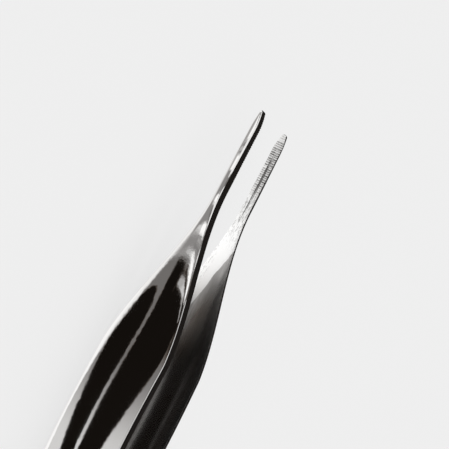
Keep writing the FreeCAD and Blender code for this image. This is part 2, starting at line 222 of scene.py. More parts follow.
def plan_half_width(sizes, half, distance, total):
    """Half the width of the arm seen on its face, with its rounded tip and heel corners."""
    end = sizes.tip_end_width / 2
    reach = sizes.tip_round_length - end
    drop = sizes.nose_width / 2 - end
    if distance < sizes.tip_round_length:
        side_radius = (reach ** 2 + drop ** 2) / (2 * drop)
        from_start = min(sizes.tip_round_length - distance, reach)
        half -= side_radius - math.sqrt(side_radius ** 2 - from_start ** 2)
        half -= end * (1.0 - round_in(distance, end))
    radius = sizes.heel_corner_radius
    half -= radius * (1.0 - round_in(total - distance, radius))
    limit = (ARM_HIGH.z - ARM_LOW.z) / 2
    return min(half, limit)


# Depth of the cuts, as shares of the full depth: the first one, the least one and how much they
# vary. The last value is how far that variation turns from one cut to the next, in radians.
FIRST_TOOTH = 0.4
LEAST_TOOTH = 0.2
TOOTH_VARIES = 0.2
TOOTH_TURN = 2.4


def notch_depth(sizes, distance):
    """Depth of the cut between two teeth at a distance behind the tip."""
    count = math.floor(sizes.toothed_length / sizes.tooth_pitch)
    number = round((distance - sizes.tooth_start) / sizes.tooth_pitch)
    if not 0 <= number < count:
        return 0.0
    off = abs(distance - sizes.tooth_start - number * sizes.tooth_pitch)
    worn_back = (sizes.toothed_length - distance) / sizes.tooth_fade
    worn_front = FIRST_TOOTH + distance / sizes.tooth_fade
    left = max(min(worn_back, worn_front, 1.0), LEAST_TOOTH)
    uneven = 1.0 - TOOTH_VARIES + TOOTH_VARIES * math.sin(TOOTH_TURN * number)
    return sizes.tooth_depth * uneven * left * max(1.0 - off / (sizes.tooth_mouth / 2), 0.0)


def groove_depth(sizes, distance):
    """Depth of the long groove, which a round cutter leaves deepest half way along."""
    middle = sizes.groove_start + sizes.groove_length / 2
    share = abs(distance - middle) / (sizes.groove_length / 2)
    return sizes.groove_depth * max(1.0 - share ** 2, 0.0)


def corner(first, apex, last, steps):
    """Points that round off a corner, from one side of it to the other."""
    points = []
    for step in range(steps + 1):
        t = step / steps
        points.append(tuple((1 - t) ** 2 * a + 2 * t * (1 - t) * b + t ** 2 * c
                            for a, b, c in zip(first, apex, last)))
    return points


INNER_STEPS = 3
OUTER_STEPS = 6
CROWN_STEPS = 18
GROOVE_SHARES = ((1.0, 0.0), (0.8, 0.75), (0.4, 1.0), (0.0, 1.0))


def half_ring(sizes, distance, total):
    """One half of the cross-section, from the middle of the inner face to that of the outer face.

    Each point is its depth from the inner face and its distance from the arm's own middle."""
    half, inner, outer, lean, crown = arm_at(sizes, distance)
    thick = outer - inner
    plan = plan_half_width(sizes, half, distance, total)
    narrow = plan / half
    edge_in = min(sizes.inner_edge, plan / 4)
    edge_out = sizes.outer_edge
    top = half - lean
    wall = Vector((thick, -lean)).normalized()
    ring = []
    groove = groove_depth(sizes, distance)
    for across, share in reversed(GROOVE_SHARES):
        ring.append((groove * share, across * sizes.groove_width / 2))
    flat_end = half - edge_in
    ring.append((0.0, (sizes.groove_width / 2 + flat_end) / 2))
    wall_start = (wall.x * edge_in, half + wall.y * edge_in)
    ring += corner((0.0, flat_end), (0.0, half), wall_start, INNER_STEPS)
    ring.append((thick / 2, half - lean / 2))
    crown_end = top - edge_out
    crown_rise = crown * (1.0 - (crown_end / top) ** 2)
    wall_end = (thick - wall.x * edge_out, top - wall.y * edge_out)
    ring += corner(wall_end, (thick, top), (thick + crown_rise, crown_end), OUTER_STEPS)
    for step in range(1, CROWN_STEPS // 2 + 1):
        across = crown_end * (1 - 2 * step / CROWN_STEPS)
        ring.append((thick + crown * (1.0 - (across / top) ** 2), across))
    notch = notch_depth(sizes, distance)
    shaped = []
    blunt = sizes.tip_nose_radius / (thick + crown)
    outer_share = 1.0 - blunt * (1.0 - round_in(distance, sizes.tip_nose_radius))
    set_back = sizes.tip_inner_radius * (1.0 - round_in(distance, sizes.tip_inner_radius))
    for depth, across in ring:
        depth = max(depth, notch)
        wall_here = half - lean * min(depth / thick, 1.0)
        shaped.append((max(depth * outer_share, set_back), min(across, wall_here) * narrow))
    return inner, shaped


def ring_points(sizes, distance, total, way):
    """The whole cross-section as points in space, for the arm on one side of the middle."""
    inner, shaped = half_ring(sizes, distance, total)
    back = [(depth, -across) for depth, across in reversed(shaped[1:-1])]
    middle = (ARM_LOW.z + ARM_HIGH.z) / 2
    return [Vector((ARM_HIGH.x - distance, way * (inner + depth), middle + across))
            for depth, across in shaped + back]


ROUND_TURNS = range(6, 91, 7)
CLOSEST_STATIONS = 0.002 * MM
CLOSEST_POINTS = 0.0005 * MM


def station_distances(sizes, total):
    """Distances behind the tip at which the cross-section is drawn."""
    stations = {0.0, total}
    behind = 0.0
    for zone in zone_lengths(sizes):
        steps = max(round(zone / sizes.station_step), 1)
        stations.update(behind + zone * step / steps for step in range(steps + 1))
        behind += zone
    for radius, start, way in ((sizes.tip_end_width / 2, 0.0, 1), (sizes.tip_nose_radius, 0.0, 1),
                               (sizes.heel_corner_radius, total, -1)):
        stations.update(start + way * radius * (1 - math.cos(math.radians(degrees)))
                        for degrees in ROUND_TURNS)
    count = math.floor(sizes.toothed_length / sizes.tooth_pitch)
    toothed_end = sizes.tooth_start + (count - 1) * sizes.tooth_pitch + sizes.tooth_mouth / 2
    stations = {d for d in stations if not sizes.tooth_start < d < toothed_end}
    for number in range(count):
        middle = sizes.tooth_start + number * sizes.tooth_pitch
        stations.update((middle - sizes.tooth_mouth / 2, middle, middle + sizes.tooth_mouth / 2))
    ordered = sorted(stations)
    kept = [ordered[0]]
    for distance in ordered[1:]:
        if distance - kept[-1] > CLOSEST_STATIONS:
            kept.append(distance)
    return kept


def forge_arm(sizes, way):
    """Draw the arm out of its first cross-section, station by station."""
    total = ARM_HIGH.x - ARM_LOW.x
    bm = bmesh.new()
    distances = station_distances(sizes, total)
    ring = [bm.verts.new(point) for point in ring_points(sizes, distances[0], total, way)]
    edges = [bm.edges.new((a, b)) for a, b in zip(ring, ring[1:] + ring[:1])]
    bmesh.ops.contextual_create(bm, geom=edges)
    for distance in distances[1:]:
        made = bmesh.ops.extrude_edge_only(bm, edges=edges)["geom"]
        new_verts = {item for item in made if isinstance(item, bmesh.types.BMVert)}
        following = []
        for vert in ring:
            joined = (edge.other_vert(vert) for edge in vert.link_edges)
            following.append(next(other for other in joined if other in new_verts))
        for vert, point in zip(following, ring_points(sizes, distance, total, way)):
            vert.co = point
        ring = following
        edges = [bm.edges.get((a, b)) for a, b in zip(ring, ring[1:] + ring[:1])]
    bmesh.ops.contextual_create(bm, geom=edges)
    bmesh.ops.remove_doubles(bm, verts=bm.verts, dist=CLOSEST_POINTS)
    bmesh.ops.recalc_face_normals(bm, faces=bm.faces)
    return bm


SHARP_ANGLE = math.radians(30)
# Least turn towards the middle, as a sine, of a face that has the ground finish
FACING_IN = 0.25


def finish_arm(bm, name, body_material, jaw_material, way):
    """Set the smooth and sharp edges and the two finishes, and make the arm an object."""
    for face in bm.faces:
        face.smooth = True
        face.material_index = 1 if -way * face.normal.y > FACING_IN else 0
    for edge in bm.edges:
        if len(edge.link_faces) == 2 and edge.calc_face_angle() > SHARP_ANGLE:
            edge.smooth = False
    mesh = bpy.data.meshes.new(name)
    bm.to_mesh(mesh)
    bm.free()
    mesh.materials.append(body_material)
    mesh.materials.append(jaw_material)
    piece = bpy.data.objects.new(name, mesh)
    bpy.context.scene.collection.objects.link(piece)
    return piece


# Materials

class Graph:
    """Short names for the few shader nodes that the studio and the steel share."""

    def __init__(self, tree):
        self.tree = tree

    def node(self, kind, **settings):
        made = self.tree.nodes.new(kind)
        for name, value in settings.items():
            setattr(made, name, value)
        return made

    def feed(self, socket, value):
        if isinstance(value, bpy.types.NodeSocket):
            self.tree.links.new(value, socket)
        else:
            socket.default_value = value

    def math(self, operation, *values):
        made = self.node("ShaderNodeMath", operation=operation)
        for socket, value in zip(made.inputs, values):
            self.feed(socket, value)
        return made.outputs[0]

    def product(self, first, *others):
        """Several values multiplied together."""
        for other in others:
            first = self.math("MULTIPLY", first, other)
        return first

    def dot(self, vector, direction):
        made = self.node("ShaderNodeVectorMath", operation="DOT_PRODUCT")
        self.feed(made.inputs[0], vector)
        made.inputs[1].default_value = direction
        return made.outputs["Value"]

    def noise(self, vector, size, detail, roughness, stretch=(1.0, 1.0, 1.0)):
        """Soft noise whose blotches are about size across, drawn out along any axis by stretch."""
        mapped = self.node("ShaderNodeMapping")
        self.feed(mapped.inputs["Vector"], vector)
        mapped.inputs["Scale"].default_value = [1 / (size * share) for share in stretch]
        made = self.node("ShaderNodeTexNoise")
        self.feed(made.inputs["Vector"], mapped.outputs["Vector"])
        for name, value in (("Scale", 1.0), ("Detail", detail), ("Roughness", roughness)):
            made.inputs[name].default_value = value
        return made.outputs["Fac"]

    def bump(self, shader, height, depth):
        """Raise and sink the surface by up to depth."""
        made = self.node("ShaderNodeBump")
        made.inputs["Strength"].default_value = 1.0
        made.inputs["Distance"].default_value = depth
        self.feed(made.inputs["Height"], height)
        self.feed(shader.inputs["Normal"], made.outputs["Normal"])

    def colour_mix(self, share, first, second):
        """Blend two colours, each a triple or the output of another blend."""
        made = self.node("ShaderNodeMix", data_type="RGBA")
        sockets = {socket.identifier: socket for socket in made.inputs}
        self.feed(sockets["Factor_Float"], share)
        for name, value in (("A_Color", first), ("B_Color", second)):
            joined = isinstance(value, bpy.types.NodeSocket)
            self.feed(sockets[name], value if joined else (*value, 1.0))
        return next(socket for socket in made.outputs if socket.identifier == "Result_Color")

    def ramp(self, value, low, high, low_out=0.0, high_out=1.0):
        """A smooth step from low_out to high_out while value goes from low to high."""
        made = self.node("ShaderNodeMapRange", interpolation_type="SMOOTHSTEP")
        for socket, item in zip(made.inputs, (value, low, high, low_out, high_out)):
            self.feed(socket, item)
        return made.outputs["Result"]

    def mix(self, share, first, second):
        made = self.node("ShaderNodeMix", data_type="FLOAT")
        for name, item in (("Factor", share), ("A", first), ("B", second)):
            self.feed(next(s for s in made.inputs if s.name == name and s.enabled), item)
        return next(s for s in made.outputs if s.enabled)


class ArmGraph(Graph):
    """Nodes that know their place on an arm. Their steps are given in millimetres."""

    def __init__(self, tree):
        super().__init__(tree)
        self.place = self.node("ShaderNodeTexCoord").outputs["Object"]

    @cached_property
    def from_tip(self):
        """Distance behind the tip."""
        return self.math("SUBTRACT", ARM_HIGH.x, self.dot(self.place, (1.0, 0.0, 0.0)))

    @cached_property
    def raised(self):
        """Height above the middle of the arm."""
        height = self.dot(self.place, (0.0, 0.0, 1.0))
        return self.math("SUBTRACT", height, (ARM_LOW.z + ARM_HIGH.z) / 2)

    @cached_property
    def turned(self):
        """Height on the right arm and depth on the left one, for finishes that were ground alike."""
        side = self.math("SIGN", self.dot(self.place, (0.0, -1.0, 0.0)))
        return self.math("MULTIPLY", side, self.raised)

    def behind(self, low, high, low_out=0.0, high_out=1.0):
        """A smooth step between two distances behind the tip."""
        return self.ramp(self.from_tip, low * MM, high * MM, low_out, high_out)

    def along(self, start, full, fading, end):
        """1 along a stretch that comes in from start to full and goes out from fading to end."""
        return self.product(self.behind(start, full), self.behind(end, fading))

    def upwards(self, low, high, low_out=0.0, high_out=1.0):
        """A smooth step between two heights."""
        return self.ramp(self.raised, low * MM, high * MM, low_out, high_out)

    def sideways(self, low, high, low_out=0.0, high_out=1.0):
        """A smooth step between two heights that is turned over on the left arm."""
        return self.ramp(self.turned, low * MM, high * MM, low_out, high_out)


def new_material(name):
    material = bpy.data.materials.new(name)
    material.use_nodes = True
    nodes = material.node_tree.nodes
    return material, material.node_tree, nodes["Principled BSDF"]


# Stretches behind the tips, in millimetres: start, full, fading, end
PEENED = (22, 27, 30, 34)
SCUFFED_TEETH = (2.5, 3.5, 5.5, 6.5)
SCUFFED_SIDE = (1.2, 2.4, 11.0, 12.5)
# the middle of the groove, darkened partly as dirt and partly as painted shade
GROOVE_DIRT_AND_SHADE = (4, 8, 10.5, 14)
# the upper corner of the jaw, painted dark as a painted reflection
PAINTED_DARK_EDGE = (1, 3, 14, 17)
# Steps behind the tips, in millimetres: where a finish has gone or begins, and where it is full
CUTS_STEP = (19.5, 18.5)
CLEAN_GROOVE_STEP = (12, 15)
MARKS_STEP = (50, 38)
STREAKS_STEP = (50, 40)
POLISH_STEP = (38, 56)
SHADE_STEP = (28, 31)
TIP_STEP = (5, 1)
JAW_STEP = (23, 14)
# where the painted light behind the ground finish gives way to painted shade
PAINTED_LIGHT_STEP = (33, 24)
FLECKS_STEP = (25, 17)
FEW_FLECKS_STEP = (6, 15)
LOWER_FLECKS_STEP = (33, 28)
# The end of the ground finish, in metres
SATIN_EDGE = (0.08 * MM, 0.27 * MM)
SATIN_BOW = (0.10 * MM, 0.36 * MM)
SATIN_FADE = 4.5 * MM
FRAY_SIZE = 1.2 * MM
FRAY_REACH = 0.35 * MM


def polished_steel(looks):
    """Mirror-polished stainless steel, faintly uneven from the polishing wheel."""
    material, tree, shader = new_material("polished_steel")
    graph = ArmGraph(tree)
    shader.inputs["Base Color"].default_value = (*looks.steel, 1.0)
    shader.inputs["Metallic"].default_value = 1.0
    waves = graph.noise(graph.place, looks.wave_size, 2.0, 0.5)
    peened = graph.noise(graph.place, looks.wave_size / 5, 3.0, 0.7)
    peened = graph.product(graph.along(*PEENED), peened, 0.6)
    graph.bump(shader, graph.math("ADD", waves, peened), looks.wave_height)
    haze = graph.noise(graph.place, 9 * MM, 2.0, 0.5)
    least, most = looks.polish_roughness * 0.7, looks.polish_roughness * 1.4
    graph.feed(shader.inputs["Roughness"], graph.ramp(haze, 0.3, 0.7, least, most))
    return material


def satin_masks(graph, looks):
    """Where the jaws are ground to satin, and how the steel behind fades in up to that line."""
    slant = looks.satin_line_angle
    along = graph.dot(graph.place, (math.cos(slant), 0.0, 0.0))
    across = graph.math("MULTIPLY", graph.turned, math.sin(slant))
    line = graph.math("ADD", along, across)
    line = graph.math("ADD", line, graph.sideways(0.25, -0.4, *SATIN_BOW))
    fray = graph.noise(graph.place, FRAY_SIZE, 2.0, 0.6)
    frayed = graph.math("ADD", line, graph.math("MULTIPLY", fray, FRAY_REACH))
    start = (ARM_HIGH.x - looks.satin_end) * math.cos(slant)
    satin = graph.ramp(frayed, start + SATIN_EDGE[0], start + SATIN_EDGE[1])
    return satin, graph.ramp(line, start - SATIN_FADE, start)


def buffed_colour(graph, looks, fade, polish):
    """Colour behind the ground finish: streaked, with painted light towards the tip and along one side, and
    painted shade behind it and along the other side.
    """
    # painted light towards the tip and along one side, painted shade elsewhere
    painted_light_share = graph.math("MAXIMUM", graph.behind(*PAINTED_LIGHT_STEP), graph.sideways(1.0, -0.4))
    colour_now = graph.colour_mix(polish, looks.buffed, looks.steel)
    colour_now = graph.colour_mix(fade, colour_now, graph.colour_mix(painted_light_share, looks.buffed_painted_shade, looks.buffed_painted_light))
    streaks = graph.noise(graph.place, 0.35 * MM, 3.0, 0.6, (12.0, 1.0, 1.0))
    streaks = graph.product(graph.ramp(streaks, 0.35, 0.65, 0.0, 0.45), graph.behind(*STREAKS_STEP))
    colour_now = graph.colour_mix(streaks, colour_now, looks.streak)
    # painted shade along the other side
    shade = graph.product(graph.behind(*SHADE_STEP), graph.sideways(0.3, 1.5, 0.0, 0.55))
    return graph.colour_mix(shade, colour_now, looks.groove)


def jaw_colour(graph, looks):
    """Colour of the ground faces, which are less bright between the teeth and at the very tip."""
    ground = graph.colour_mix(graph.behind(*JAW_STEP), looks.satin, looks.jaw)
    at_tip = graph.product(graph.behind(*TIP_STEP), graph.upwards(-0.8, 0.5, 0.3))
    return graph.colour_mix(at_tip, ground, looks.tip)


def add_flecks(graph, looks, colour_now):
    """Flecks where the grinding wheel lifts off."""
    flecks = graph.noise(graph.place, 0.20 * MM, 2.0, 0.7, (4.0, 1.0, 1.0))
    lower = graph.product(graph.sideways(-0.9, -1.7), graph.behind(*LOWER_FLECKS_STEP, 0.0, 0.45))
    flecked = graph.math("MAXIMUM", lower, graph.behind(*FLECKS_STEP, 0.0, 0.8))
    few = graph.behind(*FEW_FLECKS_STEP, 0.35)
    flecked = graph.product(graph.ramp(flecks, 0.48, 0.60), few, flecked)
    return graph.colour_mix(flecked, colour_now, looks.fleck)


def add_cuts(graph, sizes, looks, colour_now):
    """The cuts between the teeth and the long groove, darker the deeper they go, partly as dirt and partly
    as painted shade, and most worn near the tip and the upper side.
    """
    from_middle = graph.math("ABSOLUTE", graph.dot(graph.place, (0.0, 1.0, 0.0)))
    depth = graph.math("SUBTRACT", from_middle, sizes.jaw_gap / 2)
    height = graph.math("ABSOLUTE", graph.raised)
    in_groove = graph.ramp(height, sizes.groove_width * 0.62, sizes.groove_width * 0.40)
    upper = graph.product(graph.upwards(0.05, 0.40), graph.along(*SCUFFED_SIDE))
    scuffed = graph.math("MAXIMUM", graph.along(*SCUFFED_TEETH), upper)
    patchy = graph.noise(graph.place, 0.45 * MM, 2.0, 0.6)
    patchy = graph.ramp(patchy, 0.42, 0.60, graph.mix(scuffed, 0.1, 0.5), 1.0)
    clean = graph.product(in_groove, graph.behind(*CLEAN_GROOVE_STEP))
    # the deeper the cut, the darker: partly dirt and partly painted shade in the recess
    deep = graph.ramp(depth, 0.02 * MM, sizes.tooth_depth)
    cut = graph.product(graph.behind(*CUTS_STEP), deep, patchy, graph.mix(clean, 1.0, 0.35))
    colour_now = graph.colour_mix(graph.product(scuffed, 0.25), colour_now, looks.cut)
    colour_now = graph.colour_mix(cut, colour_now, graph.colour_mix(scuffed, looks.cut, looks.groove))
    # the groove darkened along its middle stretch, partly as dirt and partly as painted shade
    groove_dirt_and_shade = graph.product(in_groove, graph.along(*GROOVE_DIRT_AND_SHADE))
    return graph.colour_mix(groove_dirt_and_shade, colour_now, looks.groove)


def ground_steel(sizes, looks):
    """Inner faces: satin-ground jaws up to a slanting line, and buffed steel behind it."""
    material, tree, shader = new_material("ground_steel")
    graph = ArmGraph(tree)
    satin, fade = satin_masks(graph, looks)
    polish = graph.behind(*POLISH_STEP)
    colour_now = buffed_colour(graph, looks, fade, polish)
    colour_now = graph.colour_mix(satin, colour_now, jaw_colour(graph, looks))
    colour_now = add_flecks(graph, looks, colour_now)
    colour_now = add_cuts(graph, sizes, looks, colour_now)
    # painted reflection: the upper corner of the jaw is painted dark, in place of the dark reflection along
    # that edge
    painted_dark_edge = graph.product(graph.along(*PAINTED_DARK_EDGE), graph.upwards(0.74, 0.88, 0.0, 0.8))
    colour_now = graph.colour_mix(painted_dark_edge, colour_now, looks.groove)
    graph.feed(shader.inputs["Base Color"], colour_now)
    shader.inputs["Metallic"].default_value = 1.0
    rough = graph.mix(polish, looks.buffed_roughness, looks.hidden_roughness)
    rough = graph.mix(fade, rough, looks.satin_roughness)
    graph.feed(shader.inputs["Roughness"], graph.mix(satin, rough, looks.satin_roughness))
    marks = graph.noise(graph.place, 0.07 * MM, 3.0, 0.6, (60.0, 1.0, 1.0))
    graph.bump(shader, graph.product(marks, graph.behind(*MARKS_STEP)), looks.mark_depth)
    return material


class TWEEZERS_OT_arms(bpy.types.Operator):
    """Add the two forged and polished arms"""
    bl_idname = "tweezers.arms"
    bl_label = "Add the Arms"

    def execute(self, context):
        scene = context.scene
        sizes, looks = scene.tweezers_sizes, scene.tweezers_looks
        polished = polished_steel(looks)
        ground = ground_steel(sizes, looks)
        for node, way in (("left_arm", 1), ("right_arm", -1)):
            bm = forge_arm(sizes, way)
            piece = finish_arm(bm, f"{node}_polished", polished, ground, way)
            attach(piece, "root")
            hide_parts(node)
        return {"FINISHED"}


class TWEEZERS_OT_stage(bpy.types.Operator):
    """Set up the pale floor, the soft light and the camera"""
    bl_idname = "tweezers.stage"
    bl_label = "Set Up the Stage"

    def execute(self, context):
        scene = context.scene
        lay_floor(scene.tweezers_looks)
        light_studio()
        for name, (paint, low, high) in CARDS.items():
            hang_card(name, paint(), low, high)
        place_camera(scene.tweezers_camera)
        scene.view_settings.view_transform = "Standard"
        return {"FINISHED"}


FLOOR_GLOW = 0.75
FLOOR_REACH = 3.0


def lay_floor(looks):
    """A pale floor that keeps a faint shadow of the tool, and that the polish doesn't mirror."""
    material, tree, shader = new_material("floor_paper")
    shader.inputs["Base Color"].default_value = (*looks.floor, 1.0)
    shader.inputs["Roughness"].default_value = 0.9
    shader.inputs["Specular IOR Level"].default_value = 0.0
    graph = Graph(tree)
    glow = graph.node("ShaderNodeEmission")
    glow.inputs["Color"].default_value = (*looks.floor, 1.0)
    blend = graph.node("ShaderNodeMixShader")
    seen = graph.node("ShaderNodeLightPath").outputs["Is Camera Ray"]
    graph.feed(blend.inputs["Fac"], graph.math("MULTIPLY", seen, FLOOR_GLOW))
    tree.links.new(shader.outputs["BSDF"], blend.inputs[1])
    tree.links.new(glow.outputs[0], blend.inputs[2])
    tree.links.new(blend.outputs[0], tree.nodes["Material Output"].inputs["Surface"])
    bm = bmesh.new()
    bmesh.ops.create_grid(bm, x_segments=1, y_segments=1, size=FLOOR_REACH)
    mesh = bpy.data.meshes.new("floor")
    bm.to_mesh(mesh)
    bm.free()
    mesh.materials.append(material)
    floor = bpy.data.objects.new("floor", mesh)
    bpy.context.scene.collection.objects.link(floor)
    floor.visible_glossy = False


# Brightness of the walls that the polish mirrors, and the tint of dark and bright ones
DARK_WALL, LOW_WALL, PALE_WALL = 0.015, 0.45, 0.95
DARK_CEILING, BRIGHT_CEILING = 0.03, 1.1
GROUND, CREST, BRIGHT_WALL = 1.0, 1.2, 1.25
DARK_TINT, BRIGHT_TINT = (1.0, 0.86, 0.77), (1.0, 1.0, 1.0)


def light_studio():
    """Plain light for everything, and the bright and dark walls that the polish mirrors."""
    world = bpy.data.worlds.new("studio")
    world.use_nodes = True
    bpy.context.scene.world = world
    graph = Graph(world.node_tree)
    ramp = graph.ramp
    direction = graph.node("ShaderNodeTexCoord").outputs["Generated"]
    along = graph.dot(direction, (1.0, 0.0, 0.0))
    front = graph.dot(direction, (0.0, 1.0, 0.0))
    rise = graph.dot(direction, (0.0, 0.0, 1.0))
    in_front = graph.product(ramp(front, -0.15, 0.15), ramp(along, -0.75, -0.35))
    crest = ramp(graph.math("ABSOLUTE", front), 0.45, 0.20)
    crest = graph.product(crest, ramp(rise, 0.55, 0.90))
    top = graph.math("MAXIMUM", crest, ramp(rise, 0.86, 0.95))
    bottom = ramp(rise, -0.60, -0.80)
    low_behind = ramp(rise, -0.65, -0.20, PALE_WALL, LOW_WALL)
    behind = graph.mix(ramp(rise, -0.28, -0.18), low_behind, DARK_WALL)
    ceiling = ramp(along, 0.35, 0.55, DARK_CEILING, BRIGHT_CEILING)
    walls = graph.mix(in_front, behind, ramp(rise, 0.20, 0.34, BRIGHT_WALL, ceiling))
    mirrored = graph.mix(bottom, graph.mix(top, walls, CREST), GROUND)
    glossy = graph.node("ShaderNodeLightPath").outputs["Is Glossy Ray"]
    strength = graph.mix(glossy, 1.0, mirrored)
    background = world.node_tree.nodes["Background"]
    tint = graph.colour_mix(ramp(strength, 0.0, 0.4), DARK_TINT, BRIGHT_TINT)
    graph.feed(background.inputs["Color"], tint)
    graph.feed(background.inputs["Strength"], strength)


# How far a mirrored ray runs where a card goes over from its near look to its far one
NEAR_REACH = (35 * MM, 37 * MM)
FAR_LEVEL = 0.04
# Heights in millimetres, between which the far look of the shoulder card clears
CLEAR_BELOW = (11.0, 9.0)
SOFT = 0.6
WARM_BLACK, WARM_GREY, COOL_WHITE = (1.0, 0.78, 0.62), (1.0, 0.97, 0.955), (1.0, 0.998, 0.992)


class CardPaint:
    """Bright and dark fields with soft edges, painted on an upright card in millimetres."""

    def __init__(self, name):
        self.material = bpy.data.materials.new(name)
        self.material.use_nodes = True
        self.tree = self.material.node_tree
        self.tree.nodes.clear()
        self.graph = Graph(self.tree)
        self.place = self.graph.node("ShaderNodeTexCoord").outputs["Object"]
        self.x = self.measure(0)
        self.z = self.measure(90)
        self.level = 0.0

    def measure(self, angle):
        """Distance across the card at an angle from its length."""
        slant = math.radians(angle)
        way = (math.cos(slant) / MM, 0.0, math.sin(slant) / MM)
        return self.graph.dot(self.place, way)

    def band(self, value, low, high, soft_low=SOFT, soft_high=SOFT):
        """1 between low and high, with soft edges centred on them; None leaves a side open."""
        mask = 1.0
        if low is not None:
            mask = self.graph.ramp(value, low - soft_low / 2, low + soft_low / 2)
        if high is not None:
            upper = self.graph.ramp(value, high + soft_high / 2, high - soft_high / 2)
            mask = self.graph.product(mask, upper)
        return mask

    def away(self, coordinate, start):
        return self.graph.math("SUBTRACT", coordinate, start)

    def hypotenuse(self, across, upright):
        squares = [self.graph.math("MULTIPLY", side, side) for side in (across, upright)]
        return self.graph.math("SQRT", self.graph.math("ADD", *squares))

    def tongue(self, centre, radii):
        """1 inside a band that runs back from a half-oval end."""
        across = self.graph.math("MAXIMUM", self.away(self.x, centre[0]), 0.0)
        across = self.graph.math("DIVIDE", across, radii[0])
        upright = self.graph.math("DIVIDE", self.away(self.z, centre[1]), radii[1])
        return self.graph.ramp(self.hypotenuse(across, upright), 1.05, 0.95)

    def stroke(self, level, start, end, radii, soft=SOFT):
        """Lay a straight stroke with round ends and its own radius at each end."""
        math_node = self.graph.math
        run = (end[0] - start[0], end[1] - start[1])
        reach = run[0] ** 2 + run[1] ** 2
        across, upright = self.away(self.x, start[0]), self.away(self.z, start[1])
        on_run = math_node("ADD", math_node("MULTIPLY", across, run[0] / reach),
                           math_node("MULTIPLY", upright, run[1] / reach))
        share = math_node("MINIMUM", math_node("MAXIMUM", on_run, 0.0), 1.0)
        off = self.hypotenuse(math_node("SUBTRACT", across, math_node("MULTIPLY", share, run[0])),
                              math_node("SUBTRACT", upright, math_node("MULTIPLY", share, run[1])))
        radius = math_node("ADD", radii[0], math_node("MULTIPLY", share, radii[1] - radii[0]))
        self.field(level, self.graph.ramp(math_node("SUBTRACT", off, radius), soft / 2, -soft / 2))

    def field(self, level, *masks):
        """Lay a field of one brightness over what is there."""
        self.level = self.graph.mix(self.graph.product(*masks), self.level, level)

    def cleared(self, surface, far):
        """The lower part of the card is clear for rays from far off."""
        clear = self.graph.node("ShaderNodeBsdfTransparent")
        share = self.graph.node("ShaderNodeMixShader")
        low = self.graph.ramp(self.z, *CLEAR_BELOW)
        self.graph.feed(share.inputs["Fac"], self.graph.product(far, low))
        self.tree.links.new(surface, share.inputs[1])
        self.tree.links.new(clear.outputs[0], share.inputs[2])
        return share.outputs[0]

    def finish(self, far_level=None, clear_far=False):
        """Turn the fields into light, with another level or a clear card for rays from far off."""
        graph = self.graph
        glow = graph.node("ShaderNodeEmission")
        warm = graph.colour_mix(graph.ramp(self.level, 0.0, 0.25), WARM_BLACK, WARM_GREY)
        tint = graph.colour_mix(graph.ramp(self.level, 0.25, 0.9), warm, COOL_WHITE)
        graph.feed(glow.inputs["Color"], tint)
        surface = glow.outputs[0]
        if far_level is not None:
            reach = graph.node("ShaderNodeLightPath").outputs["Ray Length"]
            far = graph.ramp(reach, *NEAR_REACH)
            self.level = graph.mix(far, self.level, far_level)
            if clear_far:
                surface = self.cleared(surface, far)
        graph.feed(glow.inputs["Strength"], self.level)
        out = graph.node("ShaderNodeOutputMaterial")
        self.tree.links.new(surface, out.inputs["Surface"])
        return self.material


# Brightness of the fields
BLACK, SHADE, GREY, BRIGHT, PALE, WHITE = 0.008, 0.20, 0.42, 0.90, 1.08, 1.25
# The cards are pale below a slanting line: the angle in which it is measured, and its place there
PALE_ANGLE, PALE_LINE = 97, -15.95


def body_flag_paint():
    """Black in front of the body, split by a grey slit."""
    paint = CardPaint("body_flag")
    band, field = paint.band, paint.field
    paint.level = SHADE
    field(0.80, paint.graph.ramp(paint.x, 16.0, -12.0))
    field(0.04, band(paint.z, 10.5, None), band(paint.x, 17.0, None, 6.0))
    paint.stroke(0.55, (20.0, 10.6), (27.4, 10.4), (0.12, 0.12))
    roof = band(paint.measure(100.8), None, 6.7, SOFT, 0.8)
    field(BLACK, band(paint.z, -2.8, None), roof)
    field(BLACK, band(paint.measure(77.6), 2.3, None), band(paint.x, 22.0, None), roof)
    field(BLACK, paint.tongue((20.0, -8.8), (7.5, 4.8)), band(paint.measure(82.2), -11.6, None))
    field(PALE, band(paint.measure(PALE_ANGLE), None, PALE_LINE, SOFT, 1.6))
    paint.stroke(GREY, (24.2, 9.9), (28.0, 7.0), (0.3, 0.6))
    # what the inner face of the arm behind sees of it
    return paint.finish(paint.graph.ramp(paint.measure(100), -12.0, -15.2, 0.02, BRIGHT))


def jaw_paint():
    """Bright over the jaws, and two bright bands over the flare behind them."""
    paint = CardPaint("jaw_card")
    paint.level = SHADE
    for start, end in ((50.6, None), (44.8, 47.4), (39.9, 42.4)):
        paint.field(1.1, paint.band(paint.x, start, end, 1.2, 1.2))
    paint.field(0.12, paint.band(paint.x, None, 38.5, 1.2, 1.2))
    return paint.finish()


def under_flag_paint():
    """Painted shade: dark under the gap between the arms, as their own shade is on the floor there."""
    paint = CardPaint("under_flag")
    across = paint.graph.dot(paint.place, (0.0, 1.0 / MM, 0.0))
    ramp = paint.graph.ramp
    paint.level = 0.02
    paint.field(BRIGHT, ramp(across, -8.5, -10.0), ramp(paint.x, 14.0, 10.0))
    paint.field(BRIGHT, ramp(across, -10.5, -13.5))
    paint.field(0.50, ramp(across, -5.0, -1.0), ramp(paint.x, 12.0, 20.0))
    return paint.finish()


